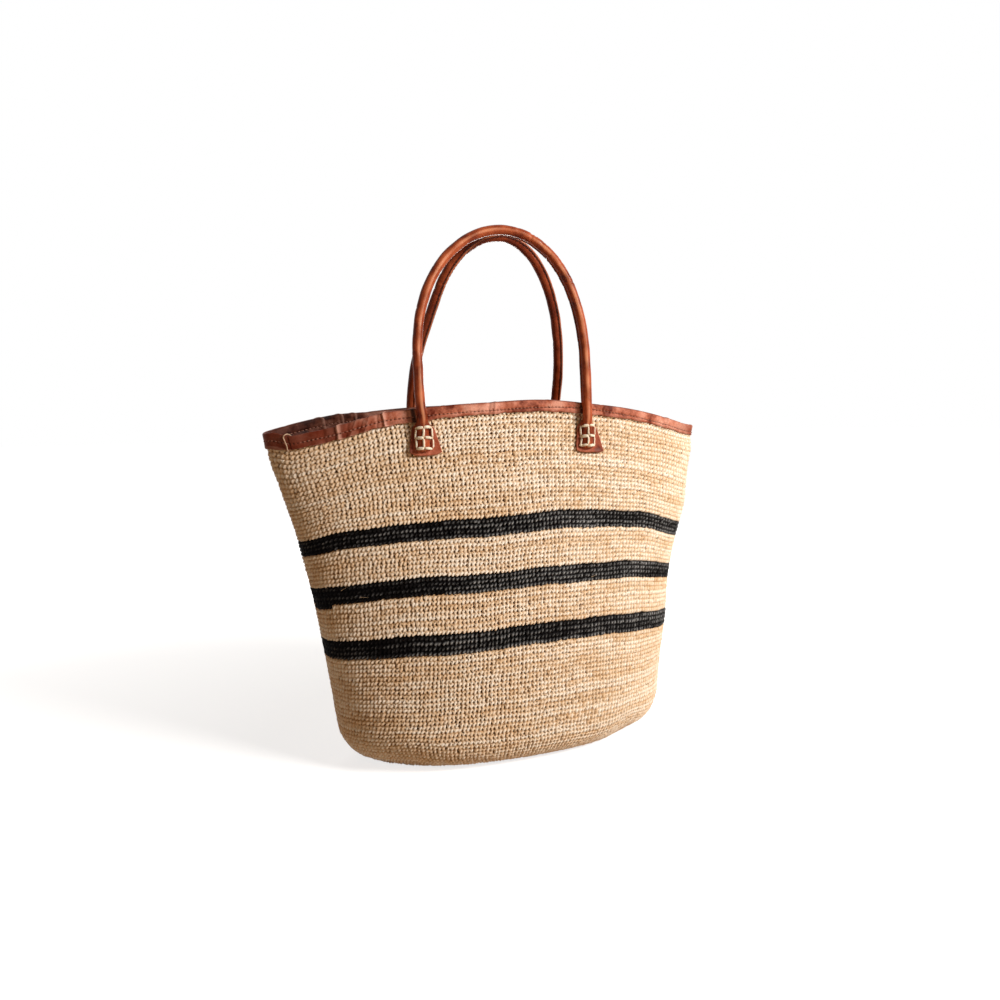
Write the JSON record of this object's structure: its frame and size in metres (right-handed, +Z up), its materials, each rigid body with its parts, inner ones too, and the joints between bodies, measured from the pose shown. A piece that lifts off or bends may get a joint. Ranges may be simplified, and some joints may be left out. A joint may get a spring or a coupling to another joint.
{
  "type": "tote bag",
  "caption": "Open crocheted raffia tote with dark stripes, a leather-bound rim and rolled leather handles laced on by flared tabs.",
  "frame": {"origin": "middle of the base on the floor", "axes": "+Z up, +X towards the bag's right end seen from the front, -Y towards the front handle"},
  "size_m": [0.459, 0.172, 0.5139],
  "materials": {
    "natural_raffia": "crocheted natural raffia, satin straw fibres",
    "dark_raffia": "crocheted raffia dyed black",
    "binding_leather": "soft red-brown leather, satin",
    "handle_leather": "rolled red-brown leather, polished by use",
    "rim_thread": "fine dark sewing thread",
    "joint_thread": "tan waxed thread",
    "handle_cord": "plain cotton filler cord",
    "lacing_cord": "cream waxed cord"
  },
  "bodies": {
    "bag": {"base_panel": "natural_raffia", "lower_wall": "natural_raffia", "lower_stripe": "dark_raffia", "lower_band": "natural_raffia", "middle_stripe": "dark_raffia", "upper_band": "natural_raffia", "upper_stripe": "dark_raffia", "upper_wall": "natural_raffia", "rim_binding": "binding_leather", "rim_stitch_outer": "rim_thread", "rim_stitch_inner": "rim_thread", "binding_joint_thread": "joint_thread", "front_left_tab": "handle_leather", "front_left_lacing": "lacing_cord", "front_right_tab": "handle_leather", "front_right_lacing": "lacing_cord", "rear_left_tab": "handle_leather", "rear_left_lacing": "lacing_cord", "rear_right_tab": "handle_leather", "rear_right_lacing": "lacing_cord"},
    "front_handle": {"front_handle_sleeve": "handle_leather", "front_handle_core": "handle_cord"},
    "rear_handle": {"rear_handle_sleeve": "handle_leather", "rear_handle_core": "handle_cord"}
  },
  "joints": [
    {"name": "front_handle_swing", "type": "hinge", "parent": "bag", "child": "front_handle", "pos_m": [-0.008, -0.05083, 0.34603], "axis": [1, 0, 0], "range_deg": [-1.5, 166]},
    {"name": "rear_handle_swing", "type": "hinge", "parent": "bag", "child": "rear_handle", "pos_m": [-0.0006, 0.05065, 0.34596], "axis": [-1, 0, 0], "range_deg": [-1.5, 178]}
  ]
}
